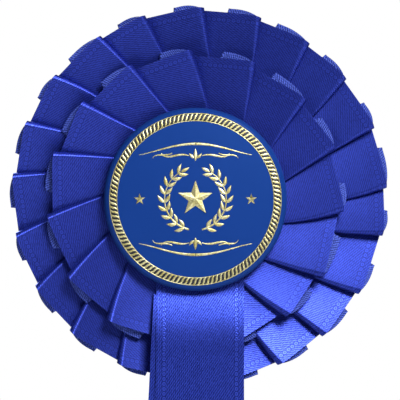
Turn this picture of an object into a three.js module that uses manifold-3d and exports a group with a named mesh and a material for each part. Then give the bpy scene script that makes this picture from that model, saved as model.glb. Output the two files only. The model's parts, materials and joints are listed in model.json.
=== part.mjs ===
// Award rosette: a button badge on two tiers of knife-pleated ribbon, with two tails, a back card
// and a safety brooch pin. Millimetres, X to the viewer's right, Y to the wearer, Z up.
// The origin is the middle of the pin wire, where the garment holds the rosette.

import * as THREE from "three";
import { mergeVertices } from "three/addons/utils/BufferGeometryUtils.js";
import Module from "manifold-3d";

const wasm = await Module();
wasm.setup();

// Clearances
const gap = 0.3; // between pieces that are glued, stapled or laid on each other
const holeGap = 0.2; // all round a staple leg in its hole
const runningGap = 0.1; // between a turning piece and what it turns in

// Ribbon tiers
const ribbonWidth = 24;
const innerTierRadius = 41.5;
const outerTierRadius = 51.5;
const innerPleats = 15;
const outerPleats = 21;
const flatThickness = 1.0; // a pleated tier at its gathered inner edge
const pleatRise = 3.4; // how much higher a fold stands at the tier's outer edge
const foldLean = THREE.MathUtils.degToRad(10); // how far a fold turns from its inner to its outer end
const outerTierShift = { x: 1.1, z: 1.2 }; // the outer tier sits a little off the badge's centre

// Cards, glue and tape
const cardThickness = 1.0;
const backCardRadius = 34;
const outerCardMargin = 5; // card beyond the staples
const tapeThickness = 0.8;
const tapeRadius = 22;

// Staples
const wire = 0.5;
const stapleCrown = 10;
const stapleClinch = 3.5;
const stapleInset = 2.8; // from a tier's inner edge
const pleatsPerStaple = 3;
const tailStapleInset = 4; // inside the inner tier's inner edge

// Badge
const badgeRadius = 25;
const badgeDepth = 5;
const faceCrown = 1.2; // how far the face bulges
const rimRound = 2.5;
const filmThickness = 0.25;
const printThickness = 0.25;
const shellThickness = 0.4;
const wrapGap = 0.1; // between film, print and shell
const backPlateThickness = 0.5;
const backPlateFlange = 1.6;

// Tails
const tailThickness = 0.4;
const tailSpacing = 0.6; // between the middles of the two tails at the fold
const tailSpread = 0.1; // how much further apart they hang
const tailLength = 208; // below the fold
const tailPuff = 0.6; // share of its climb that a tail makes in the first third of its way over the tier
const tailNotch = 11; // depth of the swallow-tail cut
const rearTailFan = THREE.MathUtils.degToRad(3);
const foldRise = 9; // the fold's top above the badge's centre
const foldOverhang = 1.2; // the fold's end below the badge's edge

// Brooch
const barLength = 38;
const barWidth = 5;
const barThickness = 0.8;
const padLength = 30;
const padWidth = 4.4;
const padThickness = 0.8;
const barHeight = 16; // above the middle of the back card
const pinHeight = 4.2; // pin wire's middle from the back card
const pinRadius = 0.4;
const pinEyeRadius = 1.3;
const pinEyeWidth = 1.8;
const rivetRadius = 0.5;
const rivetHead = 0.3;
const earThickness = 0.5;
const earRadius = 1.5;
const hingeInset = 2; // from the bar's end to the rivet
const catchOuterRadius = 2.6;
const catchWall = 0.5;
const catchLength = 3.4;
const catchMouth = 1.4;
const slotWidth = 1.1;
const leverThickness = 0.7;
const leverReach = 3.4;
const pointLength = 5; // the pin's ground point

// Sides of round pieces
const largeSides = 48;
const smallSides = 24;

const finish = (color, roughness, metalness = 0) => ({ color, roughness, metalness });
const finishes = {
  satin: finish(0x2a3a96, 0.45),
  film: finish(0x1f3e90, 0.2),
  print: finish(0x1f3e90, 0.6),
  tinplate: finish(0xb9bcc0, 0.35, 1),
  card: finish(0xb8a98c, 0.9),
  whiteCard: finish(0xeceae4, 0.85),
  glue: finish(0xe6dcc0, 0.5),
  tape: finish(0xf2f0ea, 0.7),
  steel: finish(0xc8cacd, 0.3, 1),
};

const rosette = new THREE.Group();

function addPiece(name, geometry, finishName) {
  const piece = new THREE.Mesh(geometry, new THREE.MeshStandardMaterial(finishes[finishName]));
  piece.name = name;
  rosette.add(piece);
  return piece;
}

// Solids for joining and cutting

function toSolid(geometry) {
  const bare = geometry.clone();
  bare.deleteAttribute("normal");
  bare.deleteAttribute("uv");
  const merged = mergeVertices(bare, 1e-4);
  const vertProperties = new Float32Array(merged.attributes.position.array);
  const triVerts = new Uint32Array(merged.index.array);
  return new wasm.Manifold(new wasm.Mesh({ numProp: 3, vertProperties, triVerts }));
}

function toGeometry(solid) {
  const { vertProperties, triVerts } = solid.getMesh();
  const geometry = new THREE.BufferGeometry();
  geometry.setAttribute("position", new THREE.BufferAttribute(vertProperties, 3));
  geometry.setIndex(new THREE.BufferAttribute(triVerts, 1));
  return geometry;
}

function joined(geometries) {
  return toGeometry(geometries.map(toSolid).reduce((whole, part) => whole.add(part)));
}

function cut(geometry, cutters) {
  return toGeometry(cutters.map(toSolid).reduce((left, cutter) => left.subtract(cutter), toSolid(geometry)));
}

// A box given by its two opposite corners
function boxBetween([x0, y0, z0], [x1, y1, z1]) {
  const box = new THREE.BoxGeometry(Math.abs(x1 - x0), Math.abs(y1 - y0), Math.abs(z1 - z0));
  return box.translate((x0 + x1) / 2, (y0 + y1) / 2, (z0 + z1) / 2);
}

// A disc across Y whose back is at a depth forward of the back card's outer face
function disc(radius, back, thickness, centre = { x: 0, z: 0 }) {
  const geometry = new THREE.CylinderGeometry(radius, radius, thickness, largeSides);
  return geometry.translate(centre.x, -(back + thickness / 2), centre.z);
}

// Radii that follow from the tiers
const innerTierEdge = innerTierRadius - ribbonWidth;
const outerTierEdge = outerTierRadius - ribbonWidth;
const innerStapleRadius = innerTierEdge + stapleInset;
const tailStapleDrop = innerTierEdge - tailStapleInset; // below the badge's centre
const outerStapleRadius = outerTierEdge + stapleInset;
const shiftLength = Math.hypot(outerTierShift.x, outerTierShift.z);
const innerCardRadius = outerStapleRadius - shiftLength - wire - gap;
const outerCardRadius = outerStapleRadius + outerCardMargin;
const puckRadius = tailStapleDrop - wire - 2 * gap;

// How thick a tier is at a radius, from its back to its highest fold
function tierThickness(radius, edge) {
  return flatThickness + (pleatRise * (radius - edge)) / ribbonWidth;
}

// Depths forward of the back card's outer face, from the back to the front
const tapeBack = cardThickness + gap;
const outerCardBack = tapeBack + tapeThickness + gap;
const outerTierBack = outerCardBack + cardThickness + gap;
const outerCrownBack = outerTierBack + tierThickness(outerStapleRadius + wire, outerTierEdge) + gap;
const innerCardBack = outerCrownBack + wire + gap;
const underInnerTier = outerTierBack + tierThickness(innerTierRadius + shiftLength, outerTierEdge) + gap;
const innerTierBack = Math.max(innerCardBack + cardThickness + gap, underInnerTier);
const innerCrownBack = innerTierBack + tierThickness(innerStapleRadius + wire, innerTierEdge) + gap;
const foldThickness = tailSpacing + tailThickness;
const foldReach = Math.hypot(ribbonWidth / 2, badgeRadius + foldOverhang);
const underFold = innerTierBack + tierThickness(foldReach, innerTierEdge);
const foldBack = Math.max(innerCrownBack + wire, underFold) + gap;
const tailCrownBack = foldBack + foldThickness + gap;
const badgeBack = tailCrownBack + wire + gap;
const cutterReach = 2 * badgeBack; // far enough to pass through the whole stack

// Staples

// A staple across a radius: its crown in front, its legs through the layers, its ends bent in behind
function stapleGeometry(crownBack, clinchFront) {
  const halfCrown = stapleCrown / 2;
  const halfWire = wire / 2;
  const crownFront = crownBack + wire;
  const clinchBack = clinchFront - wire;
  const pieces = [boxBetween([-halfCrown, -crownBack, -halfWire], [halfCrown, -crownFront, halfWire])];
  for (const side of [-1, 1]) {
    const outside = side * halfCrown;
    const inside = side * (halfCrown - wire);
    const tip = side * (halfCrown - stapleClinch);
    pieces.push(boxBetween([outside, -clinchBack, -halfWire], [inside, -crownFront, halfWire]));
    pieces.push(boxBetween([outside, -clinchBack, -halfWire], [tip, -clinchFront, halfWire]));
  }
  return joined(pieces);
}

// The two holes that a staple's legs pass through, right through the stack
function stapleHoles() {
  const halfHole = wire / 2 + holeGap;
  const legX = (stapleCrown - wire) / 2;
  return [-legX, legX].map((x) =>
    boxBetween([x - halfHole, -cutterReach, -halfHole], [x + halfHole, cutterReach, halfHole]),
  );
}

// Turns a geometry made at the top of a tier to its place round the tier
function placeOnTier(geometry, radius, angle, centre) {
  return geometry.translate(0, 0, radius).rotateY(angle).translate(centre.x, 0, centre.z);
}

// Clockwise angles, seen from the front, at which a tier is stapled
function stapleAngles(pleats) {
  const count = Math.floor(pleats / pleatsPerStaple);
  return Array.from({ length: count }, (_, index) => (2 * Math.PI * (index + 0.5)) / count);
}

function tierStapleHoles(pleats, radius, centre) {
  return stapleAngles(pleats).flatMap((angle) =>
    stapleHoles().map((hole) => placeOnTier(hole, radius, angle, centre)),
  );
}

function addTierStaples(prefix, pleats, radius, crownBack, clinchFront, centre) {
  stapleAngles(pleats).forEach((angle, index) => {
    const staple = placeOnTier(stapleGeometry(crownBack, clinchFront), radius, angle, centre);
    addPiece(`${prefix}_${index + 1}`, staple, "steel");
  });
}

// Pleated tiers

// A ring of knife pleats. Each panel climbs from under its neighbour to a fold at its clockwise end,
// and drops straight to the next panel. A fold leans as it runs outwards.
function pleatedRing(pleats, edge, back) {
  const panelSteps = 3;
  const radialSteps = 3;
  const pitch = (2 * Math.PI) / pleats;
  const columns = [];
  for (let pleat = 0; pleat < pleats; pleat += 1) {
    for (let step = 0; step <= panelSteps; step += 1) {
      columns.push({ angle: pitch * (pleat + step / panelSteps), climb: step / panelSteps });
    }
  }
  const positions = [];
  for (const { angle, climb } of columns) {
    for (let step = 0; step <= radialSteps; step += 1) {
      const share = step / radialSteps;
      const radius = edge + ribbonWidth * share;
      const turned = angle - foldLean * share;
      const x = radius * Math.sin(turned);
      const z = radius * Math.cos(turned);
      const front = back + flatThickness + pleatRise * share * climb;
      positions.push(x, -back, z, x, -front, z);
    }
  }
  const rowLength = 2 * (radialSteps + 1);
  const indices = [];
  const addQuad = (a, b, c, d) => indices.push(a, c, b, a, d, c);
  columns.forEach((_, index) => {
    const here = index * rowLength;
    const next = ((index + 1) % columns.length) * rowLength;
    for (let step = 0; step < radialSteps; step += 1) {
      const low = 2 * step;
      const high = low + 2;
      addQuad(here + low + 1, here + high + 1, next + high + 1, next + low + 1);
      addQuad(here + low, next + low, next + high, here + high);
    }
    const last = 2 * radialSteps;
    addQuad(here, here + 1, next + 1, next);
    addQuad(here + last, next + last, next + last + 1, here + last + 1);
  });
  const geometry = new THREE.BufferGeometry();
  geometry.setAttribute("position", new THREE.Float32BufferAttribute(positions, 3));
  geometry.setIndex(indices);
  return geometry;
}

const middle = { x: 0, z: 0 };
const innerHoles = () => tierStapleHoles(innerPleats, innerStapleRadius, middle);
const outerHoles = () => tierStapleHoles(outerPleats, outerStapleRadius, outerTierShift);
const tailStapleHoles = () => stapleHoles().map((hole) => hole.translate(0, 0, -tailStapleDrop));

// Back card, its tape, and the outer tier on its card

addPiece("back_card", disc(backCardRadius, 0, cardThickness, outerTierShift), "whiteCard");
addPiece("back_card_tape", disc(tapeRadius, tapeBack, tapeThickness, outerTierShift), "tape");

const outerCard = disc(outerCardRadius, outerCardBack, cardThickness, outerTierShift);
addPiece("outer_tier_card", cut(outerCard, outerHoles()), "card");

const outerRing = pleatedRing(outerPleats, outerTierEdge, outerTierBack);
outerRing.translate(outerTierShift.x, 0, outerTierShift.z);
addPiece("outer_tier_ribbon", cut(outerRing, outerHoles()), "satin");
const outerClinch = outerCardBack - holeGap;
addTierStaples("outer_staple", outerPleats, outerStapleRadius, outerCrownBack, outerClinch, outerTierShift);

// Inner tier on its card, glued to the outer tier's card

const tierPuckBack = outerCardBack + cardThickness + gap;
const tierPuckThickness = innerCardBack - gap - tierPuckBack;
addPiece("tier_glue_puck", disc(puckRadius, tierPuckBack, tierPuckThickness), "glue");

const innerCard = disc(innerCardRadius, innerCardBack, cardThickness);
addPiece("inner_tier_card", cut(innerCard, [...innerHoles(), ...tailStapleHoles()]), "card");

const innerRing = pleatedRing(innerPleats, innerTierEdge, innerTierBack);
addPiece("inner_tier_ribbon", cut(innerRing, innerHoles()), "satin");
const innerClinch = innerCardBack - holeGap;
addTierStaples("inner_staple", innerPleats, innerStapleRadius, innerCrownBack, innerClinch, middle);

// Tails: one ribbon folded under the badge, glued and stapled to the inner tier's card

const badgePuckBack = innerCardBack + cardThickness + gap;
const badgePuckThickness = foldBack - gap - badgePuckBack;
addPiece("badge_glue_puck", disc(puckRadius, badgePuckBack, badgePuckThickness), "glue");

const halfRibbon = ribbonWidth / 2;
const foldBottom = -(badgeRadius + foldOverhang);
const foldFront = foldBack + foldThickness;
const foldBlock = boxBetween([-halfRibbon, -foldBack, foldBottom], [halfRibbon, -foldFront, foldRise]);
addPiece("tails_fold", cut(foldBlock, tailStapleHoles()), "satin");

const tailStaple = stapleGeometry(tailCrownBack, innerClinch).translate(0, 0, -tailStapleDrop);
addPiece("tail_staple", tailStaple, "steel");

// A hanging tail: a strip that leaves the fold, rides over the inner tier's outer edge and hangs
// straight, extruded across its width and cut to a swallow-tail
function tailGeometry(top, topDepth, hangDepth) {
  const crest = -innerTierRadius;
  const bottom = top - tailLength;
  const settled = crest - ribbonWidth;
  const middleLine = new THREE.SplineCurve([
    new THREE.Vector2(topDepth, top),
    new THREE.Vector2(topDepth + (hangDepth - topDepth) * tailPuff, (top * 2 + crest) / 3),
    new THREE.Vector2(hangDepth, crest),
    new THREE.Vector2(hangDepth, settled),
    new THREE.Vector2(hangDepth, (settled + bottom) / 2),
    new THREE.Vector2(hangDepth, bottom),
  ]);
  const steps = 24;
  const half = tailThickness / 2;
  const front = [];
  const back = [];
  for (let step = 0; step <= steps; step += 1) {
    const point = middleLine.getPoint(step / steps);
    const along = middleLine.getTangent(step / steps);
    front.push(new THREE.Vector2(-(point.x - along.y * half), point.y + along.x * half));
    back.unshift(new THREE.Vector2(-(point.x + along.y * half), point.y - along.x * half));
  }
  const strip = new THREE.ExtrudeGeometry(new THREE.Shape([...front, ...back]), {
    depth: ribbonWidth,
    bevelEnabled: false,
  });
  strip.translate(0, 0, -halfRibbon);
  strip.rotateY(Math.PI / 2).rotateX(Math.PI / 2);
  return cut(strip, [notchGeometry(bottom)]);
}

// A wedge that cuts the swallow-tail into a tail's end
function notchGeometry(bottom) {
  const outline = new THREE.Shape([
    new THREE.Vector2(-halfRibbon, bottom),
    new THREE.Vector2(-halfRibbon, bottom - gap),
    new THREE.Vector2(halfRibbon, bottom - gap),
    new THREE.Vector2(halfRibbon, bottom),
    new THREE.Vector2(0, bottom + tailNotch),
  ]);
  const wedge = new THREE.ExtrudeGeometry(outline, { depth: cutterReach, bevelEnabled: false });
  return wedge.rotateX(Math.PI / 2);
}

const innerTierTop = innerTierBack + tierThickness(innerTierRadius, innerTierEdge);
const rearTopDepth = foldBack + tailThickness / 2;
const frontTopDepth = rearTopDepth + tailSpacing;
const rearHangDepth = innerTierTop + 2 * gap + tailThickness / 2;
const frontHangDepth = rearHangDepth + tailSpacing + tailSpread;

const tailTop = foldBottom - gap;
addPiece("tail_front", tailGeometry(tailTop, frontTopDepth, frontHangDepth), "satin");

// The rear tail is turned about the tail staple, and starts low enough for its turned top corner
const fanDrop = halfRibbon * Math.sin(rearTailFan);
const rearTail = tailGeometry(tailTop - fanDrop, rearTopDepth, rearHangDepth);
rearTail.translate(0, 0, tailStapleDrop).rotateY(rearTailFan).translate(0, 0, -tailStapleDrop);
addPiece("tail_rear", rearTail, "satin");

// Button badge

// Half the outline of the badge's front, drawn back by an inset: a crowned face, a round rim and a
// straight side. Points are (radius, forward depth), from the axis to the back edge.
function wrapOutline(inset) {
  const front = badgeBack + badgeDepth - inset;
  const faceRadius = badgeRadius - rimRound;
  const round = rimRound - inset;
  const faceSteps = 3;
  const rimSteps = 4;
  const points = [];
  for (let step = 0; step < faceSteps; step += 1) {
    const share = step / faceSteps;
    points.push([faceRadius * share, front - faceCrown * share * share]);
  }
  for (let step = 0; step <= rimSteps; step += 1) {
    const angle = (Math.PI / 2) * (1 - step / rimSteps);
    const depth = front - faceCrown - round + round * Math.sin(angle);
    points.push([faceRadius + round * Math.cos(angle), depth]);
  }
  points.push([faceRadius + round, badgeBack]);
  return points;
}

// A cup pressed or wrapped to the badge's outline
function cupGeometry(inset, thickness) {
  const outside = wrapOutline(inset);
  const inside = wrapOutline(inset + thickness).reverse();
  return latheAboutY([...outside, ...inside]);
}

// A turned piece about the Y axis, from (radius, forward depth) points that run from the front back
function latheAboutY(points) {
  const profile = points.map(([radius, depth]) => new THREE.Vector2(radius, -depth));
  return new THREE.LatheGeometry(profile, largeSides);
}

const printInset = filmThickness + wrapGap;
const shellInset = printInset + printThickness + wrapGap;
addPiece("badge_film", cupGeometry(0, filmThickness), "film");
addPiece("badge_print", cupGeometry(printInset, printThickness), "print");
addPiece("badge_shell", cupGeometry(shellInset, shellThickness), "tinplate");

const plateRadius = badgeRadius - shellInset - shellThickness - gap;
const plateFront = badgeBack + backPlateThickness;
const flangeFront = badgeBack + backPlateFlange;
const flangeInside = plateRadius - backPlateThickness;
const backPlate = latheAboutY([
  [0, plateFront],
  [flangeInside, plateFront],
  [flangeInside, flangeFront],
  [plateRadius, flangeFront],
  [plateRadius, badgeBack],
  [0, badgeBack],
]);
addPiece("badge_back_plate", backPlate, "tinplate");

// Brooch pin on the back card's outer face

const padBack = gap;
const barBack = padBack + padThickness + gap;
const barTop = barBack + barThickness;
const hingeX = -barLength / 2 + hingeInset;
const barEndX = barLength / 2;

const pad = boxBetween(
  [-padLength / 2, padBack, barHeight - padWidth / 2],
  [padLength / 2, padBack + padThickness, barHeight + padWidth / 2],
);
addPiece("brooch_pad", pad, "tape");

// A plate cut to an outline in the X-Y plane and given a thickness up Z
function plateUpZ(outline, holes, bottom, thickness) {
  const shape = new THREE.Shape(outline);
  shape.holes = holes;
  const geometry = new THREE.ExtrudeGeometry(shape, { depth: thickness, bevelEnabled: false });
  return geometry.translate(0, 0, bottom);
}

function circlePoints(x, y, radius, from, to, steps) {
  return Array.from({ length: steps + 1 }, (_, step) => {
    const angle = from + ((to - from) * step) / steps;
    return new THREE.Vector2(x + radius * Math.cos(angle), y + radius * Math.sin(angle));
  });
}

function fullCircle(x, y, radius) {
  return circlePoints(x, y, radius, 0, 2 * Math.PI, smallSides).slice(0, -1);
}

function roundHole(x, y, radius) {
  return new THREE.Path(fullCircle(x, y, radius));
}

// An upturned ear with a round top, drilled for the rivet
function earGeometry(bottom) {
  const outline = [
    new THREE.Vector2(hingeX - earRadius, barBack),
    new THREE.Vector2(hingeX + earRadius, barBack),
    ...circlePoints(hingeX, pinHeight, earRadius, 0, Math.PI, smallSides / 2),
  ];
  const hole = roundHole(hingeX, pinHeight, rivetRadius + runningGap);
  return plateUpZ(outline, [hole], bottom, earThickness);
}

// A ring sector round the X axis, open towards +Y by a mouth
function catchGeometry() {
  const inside = catchOuterRadius - catchWall;
  const from = Math.PI / 2 + Math.asin(catchMouth / 2 / inside);
  const to = 2.5 * Math.PI - Math.asin(catchMouth / 2 / inside);
  const outline = [
    ...circlePoints(0, 0, catchOuterRadius, from, to, smallSides),
    ...circlePoints(0, 0, inside, to, from, smallSides),
  ];
  const geometry = plateUpZ(outline, [], 0, catchLength);
  return aboutX(geometry, barEndX - catchLength);
}

// Turns a plate drawn with Y outwards and Z as its thickness so that its thickness runs along X
function aboutX(geometry, startX) {
  return geometry.rotateY(Math.PI / 2).translate(startX, pinHeight, barHeight);
}

const barStrip = boxBetween(
  [-barLength / 2, barBack, barHeight - barWidth / 2],
  [barEndX, barTop, barHeight + barWidth / 2],
);
const ears = [-barWidth / 2, barWidth / 2 - earThickness].map((side) => earGeometry(barHeight + side));
addPiece("brooch_bar", joined([barStrip, ...ears, catchGeometry()]), "steel");

// A turned piece about the rivet's axis, from (radius, height) points that run upwards
function latheAboutRivet(points) {
  const profile = points.map(([radius, height]) => new THREE.Vector2(radius, height));
  const geometry = new THREE.LatheGeometry(profile, smallSides);
  return geometry.rotateX(Math.PI / 2).translate(hingeX, pinHeight, barHeight);
}

const rivetReach = barWidth / 2 + runningGap;
const headReach = rivetReach + rivetHead;
const headRadius = 2 * rivetRadius;
const rivet = latheAboutRivet([
  [0, -headReach],
  [headRadius, -headReach],
  [headRadius, -rivetReach],
  [rivetRadius, -rivetReach],
  [rivetRadius, rivetReach],
  [headRadius, rivetReach],
  [headRadius, headReach],
  [0, headReach],
]);
addPiece("brooch_rivet", rivet, "steel");

// The pin wire: an eye that turns on the rivet, a straight wire and a ground point
const pinTipX = barEndX - runningGap;
const eyeHole = rivetRadius + runningGap;
const eye = plateUpZ(
  fullCircle(hingeX, pinHeight, pinEyeRadius),
  [roundHole(hingeX, pinHeight, eyeHole)],
  barHeight - pinEyeWidth / 2,
  pinEyeWidth,
);
const pinStartX = hingeX + eyeHole + runningGap;
const pinProfile = [
  new THREE.Vector2(0, pinStartX),
  new THREE.Vector2(pinRadius, pinStartX),
  new THREE.Vector2(pinRadius, pinTipX - pointLength),
  new THREE.Vector2(pinRadius / 4, pinTipX),
  new THREE.Vector2(0, pinTipX),
];
const pinWire = new THREE.LatheGeometry(pinProfile, smallSides / 2);
pinWire.rotateZ(-Math.PI / 2).translate(0, pinHeight, barHeight);
addPiece("brooch_pin", joined([eye, pinWire]), "steel");

// The catch barrel: a slotted drum that turns in the catch, with a thumb lever past the bar's end
const barrelRadius = catchOuterRadius - catchWall - 2 * runningGap;
const slotHalf = slotWidth / 2;
const slotAngle = Math.asin(slotHalf / barrelRadius);
const barrelOutline = [
  ...circlePoints(0, 0, barrelRadius, Math.PI / 2 + slotAngle, 2.5 * Math.PI - slotAngle, smallSides),
  ...circlePoints(0, 0, slotHalf, 0, -Math.PI, smallSides / 2),
];
const barrelDrum = aboutX(plateUpZ(barrelOutline, [], 0, catchLength), barEndX - catchLength);
const leverStart = barEndX + 2 * runningGap;
const endThickness = leverThickness + 2 * runningGap;
const endDisc = new THREE.CylinderGeometry(barrelRadius, barrelRadius, endThickness, smallSides);
endDisc.rotateZ(Math.PI / 2);
endDisc.translate(barEndX + endThickness / 2, pinHeight, barHeight);
const lever = boxBetween(
  [leverStart, pinHeight - slotHalf, barHeight - leverReach],
  [leverStart + leverThickness, pinHeight + slotHalf, barHeight],
);
addPiece("brooch_catch_barrel", joined([barrelDrum, endDisc, lever]), "steel");

// The whole rosette hangs from the middle of its pin wire
rosette.position.set(0, -pinHeight, -barHeight);

export default rosette;
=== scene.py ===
"""An award rosette: a button badge on two tiers of knife-pleated satin ribbon, two ribbon tails, a
white back card and a safety brooch pin. It hangs upright, with the badge towards -Y."""

import json
import math

import bpy
import numpy as np
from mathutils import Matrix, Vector


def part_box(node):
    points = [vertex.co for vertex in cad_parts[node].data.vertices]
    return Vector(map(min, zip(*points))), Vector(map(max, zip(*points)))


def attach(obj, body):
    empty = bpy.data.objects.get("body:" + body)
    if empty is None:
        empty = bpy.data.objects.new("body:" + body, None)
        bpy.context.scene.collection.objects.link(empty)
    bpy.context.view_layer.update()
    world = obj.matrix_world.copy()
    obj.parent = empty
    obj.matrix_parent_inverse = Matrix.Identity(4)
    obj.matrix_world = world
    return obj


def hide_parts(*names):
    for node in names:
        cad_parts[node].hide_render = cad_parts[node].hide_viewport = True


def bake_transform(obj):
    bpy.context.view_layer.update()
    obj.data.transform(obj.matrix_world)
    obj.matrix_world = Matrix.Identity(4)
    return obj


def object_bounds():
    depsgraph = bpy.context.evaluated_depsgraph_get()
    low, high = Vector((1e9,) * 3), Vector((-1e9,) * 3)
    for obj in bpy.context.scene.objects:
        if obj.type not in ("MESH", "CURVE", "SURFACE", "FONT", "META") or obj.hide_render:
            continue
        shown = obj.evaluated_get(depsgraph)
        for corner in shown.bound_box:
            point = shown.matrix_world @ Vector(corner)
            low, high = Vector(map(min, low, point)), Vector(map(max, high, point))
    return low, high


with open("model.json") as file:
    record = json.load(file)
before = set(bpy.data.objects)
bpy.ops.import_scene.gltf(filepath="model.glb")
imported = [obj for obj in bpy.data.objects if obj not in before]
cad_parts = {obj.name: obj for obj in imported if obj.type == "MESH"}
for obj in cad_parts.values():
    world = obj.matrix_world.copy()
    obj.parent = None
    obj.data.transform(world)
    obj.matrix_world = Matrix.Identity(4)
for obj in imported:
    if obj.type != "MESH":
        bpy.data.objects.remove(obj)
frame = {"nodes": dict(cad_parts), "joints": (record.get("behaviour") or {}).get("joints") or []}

# ---------------------------------------------------------------------------------------------
# The camera looks straight at the badge from the front, level, through a long lens. The tails
# run out of the bottom of the picture.

badge_low, badge_high = (np.array(corner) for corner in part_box("badge_film"))
badge_centre = (badge_low + badge_high) / 2
badge_radius = (badge_high[0] - badge_low[0]) / 2

picture_width = 4.35 * badge_radius
camera_distance = 0.75
aim_offset = np.array([0.05, 0, -0.008]) * badge_radius
aim = badge_centre + aim_offset
camera_data = bpy.data.cameras.new("camera")
camera_data.sensor_width = 36
camera_data.lens = camera_data.sensor_width * camera_distance / picture_width
camera_data.clip_start = 0.01
camera = bpy.data.objects.new("camera", camera_data)
camera.location = (aim[0], badge_low[1] - camera_distance, aim[2])
camera.rotation_euler = (math.radians(90), 0, 0)
bpy.context.scene.collection.objects.link(camera)
bpy.context.scene.camera = camera

# ---------------------------------------------------------------------------------------------
# Soft studio light: a lamp above and to the right of the camera, one that grazes the pleats from
# the upper right, a weak one on the left, one behind for the back card, and a dim room. The camera
# itself sees the room as white and the floor mostly as an even pale glow.

bpy.context.scene.view_settings.view_transform = "Standard"
room_strength = 0.07
world = bpy.data.worlds.new("studio")
world.use_nodes = True
room = world.node_tree
room_light = room.nodes["Background"]
room_light.inputs["Color"].default_value = (0.85, 0.92, 1.0, 1)
room_light.inputs["Strength"].default_value = room_strength
seen_white = room.nodes.new("ShaderNodeBackground")
seen_white.inputs["Color"].default_value = (1, 1, 1, 1)


def mix_for_camera(tree, plain, seen, seen_share, output_name):
    """Shows the camera's own rays a share of the seen shader, and all other rays the plain one."""
    light_path = tree.nodes.new("ShaderNodeLightPath")
    share = tree.nodes.new("ShaderNodeMath")
    share.operation = "MULTIPLY"
    share.inputs[1].default_value = seen_share
    mix = tree.nodes.new("ShaderNodeMixShader")
    tree.links.new(light_path.outputs["Is Camera Ray"], share.inputs[0])
    for number, node in enumerate((share, plain, seen)):
        tree.links.new(node.outputs[0], mix.inputs[number])
    tree.links.new(mix.outputs[0], tree.nodes[output_name].inputs["Surface"])


mix_for_camera(room, room_light, seen_white, 1.0, "World Output")
bpy.context.scene.world = world


def add_softbox(name, place, size, watts):
    """A square area lamp at a place relative to the badge, turned to face it."""
    lamp = bpy.data.lights.new(name, "AREA")
    lamp.size = size
    lamp.energy = watts
    holder = bpy.data.objects.new(name, lamp)
    holder.location = tuple(badge_centre + np.array(place))
    holder.rotation_euler = Vector(place).to_track_quat("Z", "Y").to_euler()
    bpy.context.scene.collection.objects.link(holder)


add_softbox("key_softbox", (0.24, -0.66, 0.38), 0.24, 9.5)
add_softbox("edge_softbox", (0.42, -0.28, 0.60), 0.24, 3)
add_softbox("fill_softbox", (-0.50, -0.50, 0.30), 0.40, 0.6)
add_softbox("rear_softbox", (-0.30, 0.70, 0.40), 0.5, 7)

cad_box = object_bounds()
half_floor = 1.5
floor_gap = 0.01
floor_height = cad_box[0][2] - floor_gap
corner_signs = ((-1, -1), (1, -1), (1, 1), (-1, 1))
floor_corners = [(x * half_floor, y * half_floor, floor_height) for x, y in corner_signs]
floor_mesh = bpy.data.meshes.new("floor")
floor_mesh.from_pydata(floor_corners, [], [(0, 1, 2, 3)])
floor = bpy.data.objects.new("floor", floor_mesh)
bpy.context.scene.collection.objects.link(floor)
floor_paint = bpy.data.materials.new("floor_board")
floor_paint.use_nodes = True
floor_tree = floor_paint.node_tree
floor_shader = floor_tree.nodes["Principled BSDF"]
floor_shader.inputs["Base Color"].default_value = (0.86, 0.86, 0.86, 1)
floor_shader.inputs["Roughness"].default_value = 0.8
floor_glow = floor_tree.nodes.new("ShaderNodeEmission")
floor_glow.inputs["Color"].default_value = (0.93, 0.93, 0.93, 1)
mix_for_camera(floor_tree, floor_shader, floor_glow, 0.8, "Material Output")
floor_mesh.materials.append(floor_paint)

# ---------------------------------------------------------------------------------------------
# Back card: a disc of white-lined board, taped over the outer tier's card and its staples. The
# brooch sticks to it. It is uncoated, with faint grey fibres.


class Nodes:
    """Adds nodes to a material's or a group's tree and links them by socket name."""

    def __init__(self, tree):
        self.tree = tree

    def add(self, kind, settings=None, **values):
        """A node of a kind, with its own settings, and sockets set by number or linked."""
        node = self.tree.nodes.new(kind)
        for name, value in (settings or {}).items():
            setattr(node, name, value)
        for name, value in values.items():
            socket = self.socket(node, name)
            if isinstance(value, bpy.types.NodeSocket):
                self.tree.links.new(value, socket)
            else:
                socket.default_value = value
        return node

    def socket(self, node, name):
        """The input called name, with underscores for spaces, or the input of that number."""
        if name.startswith("input_"):
            return node.inputs[int(name.removeprefix("input_"))]
        return node.inputs[name.replace("_", " ")]

    def math(self, operation, a, b=0.0, clamp=False):
        """The result of an operation on two values, held to 0..1 if clamp is set."""
        settings = {"operation": operation, "use_clamp": clamp}
        return self.add("ShaderNodeMath", settings, input_0=a, input_1=b).outputs[0]

    def ramp(self, value, low, high, to_low=0.0, to_high=1.0):
        """The value carried smoothly from the range low..high to the range to_low..to_high."""
        node = self.add("ShaderNodeMapRange", {"interpolation_type": "SMOOTHSTEP"}, Value=value)
        node.inputs["From Min"].default_value = low
        node.inputs["From Max"].default_value = high
        node.inputs["To Min"].default_value = to_low
        node.inputs["To Max"].default_value = to_high
        return node.outputs[0]

    def blend(self, factor, a, b):
        """A mix of two colours by a factor."""
        node = self.add("ShaderNodeMix", {"data_type": "RGBA"})
        for socket, value in ((0, factor), (6, a), (7, b)):
            if isinstance(value, bpy.types.NodeSocket):
                self.tree.links.new(value, node.inputs[socket])
            else:
                node.inputs[socket].default_value = value
        return node.outputs[2]


def new_material(name, **settings):
    """A material with a Principled shader whose uniform sockets are set from the settings."""
    material = bpy.data.materials.new(name)
    material.use_nodes = True
    shader = material.node_tree.nodes["Principled BSDF"]
    for socket, value in settings.items():
        shader.inputs[socket.replace("_", " ")].default_value = value
    return material, Nodes(material.node_tree), shader


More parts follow.
